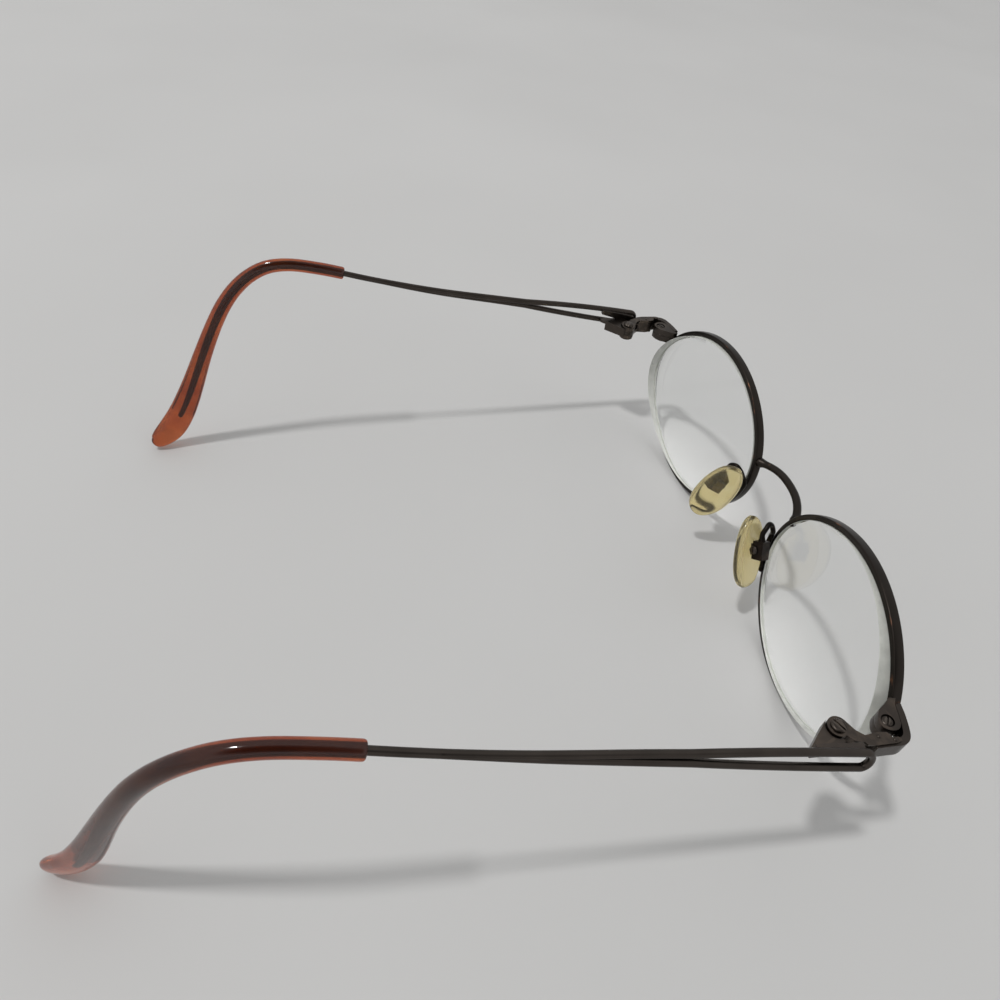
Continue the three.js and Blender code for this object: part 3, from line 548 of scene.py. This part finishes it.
def rounded(section, radii, steps=4):
    """Rounds the corners of a closed outline by quadratic fillets."""
    n, out = len(section), []
    for i in range(n):
        p = vec(*section[i])
        a, b = vec(*section[i - 1]), vec(*section[(i + 1) % n])
        r = radii[i]
        if r <= 0:
            out.append(p)
            continue
        ra = min(r, 0.45 * np.linalg.norm(a - p))
        rb = min(r, 0.45 * np.linalg.norm(b - p))
        s, e = p + unit(a - p) * ra, p + unit(b - p) * rb
        for k in range(steps + 1):
            t = k / steps
            out.append((1 - t) ** 2 * s + 2 * t * (1 - t) * p + t * t * e)
    return out


RIM_SECTION = rounded(
    [(w - 0.05, -d + 0.05), (w, -0.28), (w, 0.28), (w - 0.05, d - 0.05), (w - 0.3, d), (-w, d), (-w, GROOVE_HALF),
     (-w + GROOVE_DEPTH, 0), (-w, -GROOVE_HALF), (-w, -d), (w - 0.3, -d)],
    [0.16, 0.2, 0.2, 0.16, 0.1, 0.14, 0.08, 0.12, 0.08, 0.14, 0.1])
RIM_STEPS = 220
half_split = 0.5 * SPLIT_GAP / 21

for name, side in SIDES.items():
    a0, a1 = SPLIT_ANGLE + half_split, SPLIT_ANGLE + 2 * math.pi - half_split
    rings = [[rim_point(a0 + (a1 - a0) * i / RIM_STEPS, p, q) for p, q in RIM_SECTION] for i in range(RIM_STEPS + 1)]
    finalise(new_object(f"eye_wire_{name}", *loft(rings)), "front", [f"rim_{name}"], [M_RIM], side, sharp=50)


def lens_mesh():
    edge, apex = -w - LENS_GAP, -w + GROOVE_DEPTH - 0.08

    def front_at(r2):
        return LENS_FRONT_EDGE + (r2 - 400) / (2 * LENS_FRONT_R)

    back0 = front_at(0) + LENS_CENTRE
    stations = 220

    def ring(scale, q, p=edge):
        out = []
        for i in range(stations):
            e = (rim_point(SPLIT_ANGLE + 2 * math.pi * i / stations, p, 0) - RIM_C) * scale
            u, v = e.dot(RIM_U), e.dot(RIM_V)
            out.append(RIM_C + e + RIM_D * (q if not callable(q) else q((u + LENS_DECENTRE) ** 2 + v * v, u * u + v * v)))
        return out

    def front(_, r2):
        return min(front_at(r2), LENS_FRONT_EDGE)

    def back(r2, _):
        return back0 + r2 / (2 * LENS_BACK_R)

    bh = GROOVE_HALF - 0.08
    inner = [0.12, 0.25, 0.4, 0.55, 0.7, 0.82, 0.92, 0.98]
    rings = [ring(s, front) for s in inner]
    rings += [ring(0.997, lambda a, b: LENS_FRONT_EDGE), ring(1, lambda a, b: LENS_FRONT_EDGE + 0.05)]
    first_edge = len(rings) - 1
    rings += [ring(1, -bh), ring(1, 0, apex), ring(1, bh)]
    rings += [ring(1, lambda a, b: back(a, b) - 0.12), ring(0.9975, lambda a, b: back(a, b) - 0.03)]
    last_edge = len(rings) - 2
    rings += [ring(s, back) for s in [0.99] + inner[::-1]]
    verts, faces = loft(rings, start=in_plane(0, 0, front_at(0)), end=in_plane(0, 0, back(LENS_DECENTRE ** 2, 0)))
    ids = []
    for f in faces:
        k = min(f) // stations
        ids.append(1 if len(f) == 4 and first_edge <= k <= last_edge else 0)
    return verts, faces, ids


for name, side in SIDES.items():
    verts, faces, ids = lens_mesh()
    lens = finalise(new_object(f"lens_glass_{name}", verts, faces, ids), "front", [f"lens_{name}"], [M_GLASS, M_EDGE], side, sharp=30)
    lens.visible_shadow = False   # clear glass lets the light through to the floor

# ------------------------------------------------------------------ bridge, swelling where it is brazed to the rims
N = 96
pts, rad = [], []
for i in range(N + 1):
    s = -1 + 2 * i / N
    k = abs(s) ** 2.4
    pts.append(vec(BRIDGE_END[0] * s, BRIDGE_TOP[1] + (BRIDGE_END[1] - BRIDGE_TOP[1]) * k,
                   BRIDGE_TOP[2] + (BRIDGE_END[2] - BRIDGE_TOP[2]) * k))
    near = (1 - abs(s)) * BRIDGE_END[0]
    flare = 0.34 * math.exp(-(near / 0.75) ** 2)
    rad.append((BRIDGE_R * 0.98 + flare, BRIDGE_R * 0.9 + flare))
finalise(new_object("bridge_wire", *tube(pts, rad, 28, (0, 1, 0), 4, 4)), "front", ["bridge"], [M_BRIDGE], sharp=60)


# ------------------------------------------------------------------ end strip, closing blocks, hinge
def arc(cx, cy, r, a, b, steps):
    return [(cx + r * math.cos(math.radians(a + (b - a) * i / steps)), cy + r * math.sin(math.radians(a + (b - a) * i / steps)))
            for i in range(steps + 1)]


def eased(points, steps=5):
    return [tuple(p[:2]) for p in catmull([[x, y, 0] for x, y in points], steps)]


def rod(x, y, z0, z1, r, segments=40):
    return prism(arc(x, y, r, 0, 360 - 360 / segments, segments - 1), z0, z1)


OUTER = eased([[51.75, 1.65], [53.7, 2.0], [55.8, 2.6], [57.2, 3.2], [57.95, 3.95], [58.3, 5.0], [58.3, 6.5]])
INNER = eased([[57.25, 6.5], [57.25, 5.25], [57.0, 4.7], [56.6, 4.15], [55.4, 3.6], [53.5, 3.0], [51.9, 2.65]])
STRIP = OUTER + [(58.3, 9.4), (57.25, 9.4)] + INNER
BLOCK = [[50.9, 2.0], [51.9, 2.72], [53.45, 3.06], [55.1, 3.55]] + eased([[55.1, 3.55], [55.75, 4.2], [55.95, 5.2], [55.65, 6.2],
         [55.0, 6.75], [54.1, 6.75], [53.2, 6.35], [52.4, 5.7], [51.9, 4.8], [51.3, 3.9]])[1:] + [(50.7, 3.0)]
STRIP_SPACE = [[51.7, 1.5], [53.7, 1.8], [55.8, 2.3], [57.2, 2.6], [57.95, 3.95], [57.0, 4.75], [56.6, 4.2], [55.4, 3.65],
               [53.5, 3.05], [51.9, 2.7]]


def screw(shank, head, start, seat, height, slot):
    profile = [(0, start), (shank - 0.12, start), (shank, start + 0.15), (shank, seat), (head - 0.05, seat), (head, seat + 0.05),
               (head, seat + height * 0.55), (head - 0.05, seat + height * 0.72), (head - 0.2, seat + height * 0.95),
               (head - 0.34, seat + height), (0, seat + height)]
    ob = new_object("s", *lathe(profile, 48))
    boolean(ob, box(-2 * head, 2 * head, -slot / 2, slot / 2, seat + height * 0.5, seat + height * 2), "DIFFERENCE")
    return bevel(ob, 0.025, 2, 40)


rim_space = loft([[rim_point(-0.6 + 1.9 * i / 60, p, q) for p, q in
                   [(w - 0.1, -d + 0.1), (w - 0.1, d - 0.1), (-3, d - 0.1), (-3, -d + 0.1)]] for i in range(61)])
lens_space = loft([[rim_point(-0.6 + 1.9 * i / 60, p, q) for p, q in
                    [(-w + 0.25, -3), (-w + 0.25, 6), (-3, 6), (-3, -3)]] for i in range(61)])

for name, side in SIDES.items():
    ob = shape(f"end_strip_{name}", prism(STRIP, *STRIP_Z), ("-", rim_space), ("-", lens_space))
    finalise(bevel(ob, 0.2, 4), "front", [f"endpiece_{name}"], [M_BLOCK], side, weighted=True)
    for part, (z0, z1) in {"upper": BLOCK_Z[2:], "lower": BLOCK_Z[:2]}.items():
        ob = shape(f"closing_block_{part}_{name}", prism(BLOCK, z0, z1), ("-", rim_space), ("-", lens_space),
                   ("-", rod(LOCK_X, LOCK_Y, 20, 32, LOCK_HOLE_R)), ("-", rod(LOCK_X, LOCK_Y, LOCK_SINK_Z, 32, LOCK_SINK_R)))
        finalise(bevel(ob, 0.16, 3), "front", [f"lock_block_{part}_{name}"], [M_BLOCK], side, weighted=True)
    ob = screw(LOCK_R, LOCK_HEAD_R, BLOCK_Z[0] - 0.3, LOCK_SINK_Z + 0.03, 0.42, 0.3)
    ob.name = f"closing_screw_{name}"
    local = Matrix.Translation((LOCK_X, LOCK_Y, 0)) @ Matrix.Rotation(0.6, 4, "Z")
    finalise(ob, "front", [f"lock_screw_{name}"], [M_SCREW], side, local, weighted=True)

    knuckle = arc(HINGE_X, HINGE_Y, KNUCKLE_R, -20, 250, 48)
    plate = [(57.2, 6.3), (57.2, 9.45), (57.3, 11.0), (56.9, 12.5)] + knuckle + [(55.3, 11.6), (56.25, 10.55), (56.2, 9.9), (56.0, 8.5), (56.2, 6.9)]
    web = [(57.2, 6.3), (57.2, 9.45), (57.2, 10.35), (56.7, 10.9), (56.3, 10.6), (56.2, 9.9), (56.0, 8.5), (56.2, 6.9)]
    lip = [(57.1, 6.3), (57.1, 5.5), (57.35, 5.1), (57.8, 5.2), (58.0, 6.0), (58.0, 9.4), (57.75, 10.8), (57.2, 11.2)]
    ob = shape(f"hinge_front_half_{name}", prism(plate, STACK[0], STACK[1] - PLAY / 2), ("+", prism(web, STACK[0] + 0.001, STACK[3] - 0.001)),
               ("+", prism(plate, STACK[2] + PLAY / 2, STACK[3])),
               ("+", prism(lip, STRIP_Z[1] + LIP_GAP, STACK[3] - 0.002)), ("-", rod(HINGE_X, HINGE_Y, 20, 32, PIN_HOLE_R)))
    bevel(ob, 0.12, 3)
    for rx, ry in ((56.7, 8.48), (57.5, 6.2)):
        rivet = lathe([(0, -0.3), (0.34, -0.3), (0.34, 0.0), (0.31, 0.06), (0.24, 0.11), (0.13, 0.145), (0, 0.155)], 28)
        bm = bmesh.new()
        bm.from_mesh(ob.data)
        corners = [bm.verts.new((rx + x, ry + y, STACK[3] + z)) for x, y, z in rivet[0]]
        added = [bm.faces.new([corners[k] for k in f]) for f in rivet[1]]
        bmesh.ops.recalc_face_normals(bm, faces=added)
        bm.to_mesh(ob.data)
        bm.free()
    finalise(ob, "front", [f"hinge_front_{name}"], [M_HINGE], side, weighted=True)

    tip = (57.5, 20.2)
    tongue = arc(HINGE_X, HINGE_Y, KNUCKLE_R, 140, 345, 40) + [(58.3, 14.6), (58.1, 20.2), tip]
    leaf = [(HINGE_X - 1.38, HINGE_Y + 1.22), (HINGE_X + 0.1, HINGE_Y + 1.0), (HINGE_X + 2.0, HINGE_Y - 0.2), (58.3, 14.2), (58.1, 20.2), tip]
    seat_side = [(11.7, 27.0), (14.1, 27.5), (20.2, 29.5), (20.2, 30.6), (14.1, 29.3), (11.7, 28.7)]
    sv, sf = prism(seat_side, 57.5, 58.4)
    seat = ([(z, x, y) for x, y, z in sv], sf)
    thick = shape("thick", prism(leaf, 25.7, 28.0), ("-", rod(HINGE_X, HINGE_Y, 20, 32, KNUCKLE_R + 0.15, 64)))
    ob = shape(f"hinge_temple_half_{name}", prism(tongue, STACK[1] + PLAY / 2, STACK[2] - PLAY / 2), ("+", thick),
               ("-", box(56.6, 60, 14.0, 21, 20, 27.3)), ("+", seat),
               ("-", rod(HINGE_X, HINGE_Y, 20, 32, PIN_HOLE_R)))
    finalise(bevel(ob, 0.12, 3), f"temple_{name}", [f"hinge_temple_{name}"], [M_HINGE], side, weighted=True)

    ob = screw(PIN_R, PIN_HEAD_R, STACK[0] - 0.25, STACK[3] + 0.03, PIN_HEAD_H, 0.3)
    ob.name = f"hinge_pin_screw_{name}"
    local = Matrix.Translation((HINGE_X, HINGE_Y, 0)) @ Matrix.Rotation(-0.5, 4, "Z")
    finalise(ob, "front", [f"hinge_screw_{name}"], [M_SCREW], side, local, weighted=True)


# ------------------------------------------------------------------ temples
def temple_line():
    pts, rad = [], []

    def put(s, lift, o, r):
        pts.append(temple_point(s, z_at(s) + lift, o))
        rad.append(r)

    for s in np.arange(110.9, MERGE_TO, -0.7):
        put(s, 0, 0, min(SHAFT_R, 0.5 + 0.03 * (110.9 - s)))
    for s in np.arange(MERGE_TO, 0, -1.0):
        up, ru, _, _, o = legs(s)
        put(s, up, -o, ru)
    half = STRAND_SPREAD / 2
    for i in range(25):
        a = math.pi / 2 + math.pi * i / 24
        put(-1.75 + half * 0.82 * math.cos(a), half * math.sin(a), -STRAND_STAGGER / 2 * math.sin(a), STRAND_R)
    for s in np.arange(1, MERGE_TO + 0.1, 1.0):
        _, _, low, rl, o = legs(s)
        put(s, low, o, rl)
    return pts, rad


def sleeve_rings(sides=32):
    stations = [[SLEEVE_FROM, 1.22, 1.2], [69.5, SLEEVE_R, 1.32], [75, 1.36, 1.3], [79.5, 1.36, 1.3], [83, 1.4, 1.32], [86.4, 1.45, 1.34],
                [89.4, 1.5, 1.36], [92.4, 1.56, 1.38], [95.2, 1.62, 1.4], [98, 1.7, 1.42], [100.8, 1.82, 1.44], [103.4, 2.0, 1.46],
                [106, 2.3, 1.48], [108.4, 2.62, 1.5], [110.8, 2.88, 1.5], [113.2, 2.98, 1.46], [115.2, 2.7, 1.36], [116.7, 2.15, 1.15],
                [117.7, 1.4, 0.8]]
    body = catmull(stations[1:], 8)
    tail = [[117.92, 1.12, 0.66], [118.08, 0.78, 0.48], [118.16, 0.44, 0.28]]
    lead = [[68.93, 0.74, 0.74], [68.9, 1.02, 1.0], [68.94, 1.17, 1.14], [69.04, 1.27, 1.24], [69.22, 1.33, 1.3]]

    def centre(s):
        if s <= 117.21:
            return temple_point(s, z_at(s))
        return temple_point(s, z_at(117.2) - (s - 117.21) * 0.62)

    rings = []
    for s, hb, ha in lead + [list(b) for b in body] + tail:
        t = unit(centre(s + 0.2) - centre(s - 0.2))
        a = unit(vec(1, 0, 0) - t * t[0])
        b = np.cross(t, a)
        rings.append([centre(s) + a * ha * math.cos(x) + b * hb * math.sin(x) for x in (2 * math.pi * k / sides for k in range(sides))])
    return rings, centre(118.2)


for name, side in SIDES.items():
    forward = EAR_FORWARD if side > 0 else 0.0
    pts, rad = temple_line()
    verts, faces = tube(pts, rad, 18, (1, 0, 0), 3, 3)
    # faces under the sleeve get the near-black core bronze, which is painted shade
    covered = temple_point(SLEEVE_FROM, z_at(SLEEVE_FROM))[1] + 0.1
    core = [1 if np.mean([verts[k][1] for k in f]) > covered else 0 for f in faces]
    finalise(new_object(f"temple_shaft_{name}", verts, faces, core), f"temple_{name}", [f"temple_wire_{name}"], [M_WIRE, M_CORE],
             side, sharp=60)
    rings, end = sleeve_rings()
    verts, faces = loft(rings, start=None, end=end)
    finalise(new_object(f"ear_sleeve_{name}", verts, faces), f"temple_{name}", [f"temple_tip_{name}"], [M_TIP], side, sharp=60)

# ------------------------------------------------------------------ nose pads
nasal = [(a, rim_point(a, 0, 0)[2]) for a in np.arange(2.6, 4.3, 0.002)]


def nasal_angle(z):
    return min(nasal, key=lambda e: abs(e[1] - z))[0]


for name, side in SIDES.items():
    L = unit(PAD_AXIS[name])
    Nn = vec(-math.cos(PAD_TURN), math.sin(PAD_TURN), 0)
    Nn = unit(Nn - L * Nn.dot(L))
    Z = np.cross(L, Nn)
    Wv = np.cross(Nn, L)
    if Wv[1] < 0:
        Wv = -Wv
    C = vec(*PAD_CENTRE[name])
    local = Matrix(((L[0], Nn[0], Z[0], C[0]), (L[1], Nn[1], Z[1], C[1]), (L[2], Nn[2], Z[2], C[2]), (0, 0, 0, 1)))
    back = math.copysign(1, Z.dot(Wv))
    pl, pn = PAD_PIVOT

    rings = []
    for i in range(1, 48):
        t = -math.cos(math.pi * i / 48)
        k = math.sqrt(max(0, 1 - abs(t) ** 2.3))
        hw, hf, hb = PAD_WIDTH / 2 * k * (1 + 0.06 * t), PAD_FRONT * math.sqrt(k), PAD_BACK * min(1, 1.6 * k)
        ring = []
        for j in range(56):
            x = 2 * math.pi * j / 56
            c, s = math.cos(x), math.sin(x)
            if s >= 0:
                a, b = math.copysign(abs(c) ** 0.92, c), abs(s) ** 0.92 * hf
            else:
                a, b = math.copysign(abs(c) ** 0.55, c), -abs(s) ** 0.6 * hb
            ring.append(vec(t * PAD_LENGTH / 2, b, a * hw))
        rings.append(ring)
    pad = new_object(f"pad_{name}", *loft(rings, start=vec(-PAD_LENGTH / 2, 0, 0), end=vec(PAD_LENGTH / 2, 0, 0)))
    finalise(pad, f"pad_{name}", [f"nose_pad_{name}"], [M_PAD], side, local, sharp=70)

    def cross(r, half, segments=32):
        return prism(arc(pl, pn, r, 0, 360 - 360 / segments, segments - 1), -half, half)

    tongue = shape(f"pad_tongue_{name}", box(pl - 0.7, pl + 0.7, pn - 0.65, -PAD_BACK - 0.04, -0.65, 0.65),
                   ("+", box(pl - 1.2, pl + 1.2, -PAD_BACK - 0.4, -PAD_BACK - 0.04, -0.9, 0.9)), ("-", cross(0.52, 3)))
    finalise(bevel(tongue, 0.1, 3), f"pad_{name}", [f"pad_insert_{name}"], [M_INSERT], side, local, weighted=True)

    cup = shape(f"pad_cup_{name}", box(pl - 1.9, pl + 1.9, -4.0, -1.7, -1.3, 1.3), ("-", box(pl - 1.5, pl + 1.5, -3.5, -1.0, -0.85, 0.85)),
                ("-", cross(0.5, 3)))
    finalise(bevel(cup, 0.16, 3), "front", [f"pad_box_{name}"], [M_ARM], side, local, weighted=True)

    pin = new_object(f"pad_pivot_screw_{name}", *lathe([(0, -1.45), (0.38, -1.45), (0.44, -1.38), (0.44, 1.33), (0.80, 1.33), (0.85, 1.38),
                                                       (0.85, 1.52), (0.78, 1.64), (0.66, 1.72), (0, 1.72)], 40))
    boolean(pin, box(-1.5, 1.5, -0.125, 0.125, 1.54, 2.2), "DIFFERENCE")
    bevel(pin, 0.02, 2, 40)
    turn = Matrix.Rotation(math.pi, 4, "X") if back < 0 else Matrix.Identity(4)
    finalise(pin, "front", [f"pad_screw_{name}"], [M_SCREW], side, local @ Matrix.Translation((pl, pn, 0)) @ turn, weighted=True)

    def at(le, n):
        return C + L * le + Nn * n

    hug = [rim_point(nasal_angle(z), p, q) for z, p, q in ARM_HUG]
    curve = catmull(hug + [vec(*p) for p in ARM_LOOP[name]] + [at(pl - 3.4, -2.85), at(pl - 1.75, -2.9)], 10)
    rad = []
    for i, p in enumerate(curve):
        foot = math.exp(-(i / 13.0) ** 2)
        root = math.exp(-((len(curve) - 1 - i) / 4.0) ** 2)
        rad.append(ARM_R * (1 + 0.10 * foot) + 0.22 * root)
    finalise(new_object(f"pad_arm_wire_{name}", *tube(curve, rad, 20, (1, 0, 0), 3, 2)), "front", [f"pad_arm_{name}"], [M_ARM],
             side, sharp=60)

# ------------------------------------------------------------------ floor, light, camera
bpy.ops.mesh.primitive_plane_add(size=6, location=(0, 0, 0))
floor = bpy.context.object
floor.name = "floor"
n = Nodes("m_floor")
n.link(n.ramp(n.noise(6, 3, 0.5), [(0.3, (0.625, 0.62, 0.61)), (0.7, (0.655, 0.65, 0.64))]), n.shader.inputs["Base Color"])
n.set(Roughness=0.9, Specular_IOR_Level=0.1)
floor.data.materials.append(n.material)

world = bpy.data.worlds.new("studio")
bpy.context.scene.world = world
world.use_nodes = True
wt = world.node_tree
wt.nodes.clear()
w_out, w_bg = wt.nodes.new("ShaderNodeOutputWorld"), wt.nodes.new("ShaderNodeBackground")
w_tc, w_dot, w_ramp = wt.nodes.new("ShaderNodeTexCoord"), wt.nodes.new("ShaderNodeVectorMath"), wt.nodes.new("ShaderNodeValToRGB")
w_dot.operation = "DOT_PRODUCT"
w_dot.inputs[1].default_value = tuple(unit((-0.62, 0.02, 0.78)))
wt.links.new(w_tc.outputs["Generated"], w_dot.inputs[0])
wt.links.new(w_dot.outputs["Value"], w_ramp.inputs[0])
e = w_ramp.color_ramp.elements
e[0].position, e[0].color = 0.0, (0.88, 0.89, 0.90, 1)
e[1].position, e[1].color = 0.97, (0.10, 0.10, 0.10, 1)
k = e.new(0.78)
k.color = (1.0, 1.0, 1.0, 1)
k = e.new(0.90)
k.color = (0.30, 0.30, 0.30, 1)
wt.links.new(w_ramp.outputs["Color"], w_bg.inputs["Color"])
w_bg.inputs["Strength"].default_value = 0.69
wt.links.new(w_bg.outputs[0], w_out.inputs[0])


def area(name, location, target, size, power):
    light = bpy.data.lights.new(name, "AREA")
    light.shape, light.size, light.energy = "DISK", size, power
    ob = bpy.data.objects.new(name, light)
    bpy.context.scene.collection.objects.link(ob)
    ob.location = location
    ob.rotation_mode = "QUATERNION"
    ob.rotation_quaternion = (Vector(target) - Vector(location)).to_track_quat("-Z", "Y")
    return ob


area("key", (0.0, 0.78, 2.06), (0, 0, 0), 0.18, 15.6)

cam_data = bpy.data.cameras.new("camera")
cam = bpy.data.objects.new("camera", cam_data)
bpy.context.scene.collection.objects.link(cam)
bpy.context.scene.camera = cam
cam_data.sensor_width, cam_data.lens = 36, 26.64
cam_data.clip_start, cam_data.clip_end = 0.005, 20
R = np.array([[-0.16811, -0.98154, 0.09118], [-0.71042, 0.05651, -0.7015], [0.6834, -0.1827, -0.70681]])
c = (vec(-97.24345, 81.52287, 125.15939) + SHIFT) * 0.001
cam.matrix_world = Matrix(((R[0][0], -R[1][0], -R[2][0], c[0]), (R[0][1], -R[1][1], -R[2][1], c[1]),
                           (R[0][2], -R[1][2], -R[2][2], c[2]), (0, 0, 0, 1)))
scene = bpy.context.scene
scene.view_settings.view_transform = "Standard"
scene.cycles.use_denoising = True
scene.cycles.max_bounces = 16
scene.cycles.transmission_bounces = 12
scene.cycles.transparent_max_bounces = 12
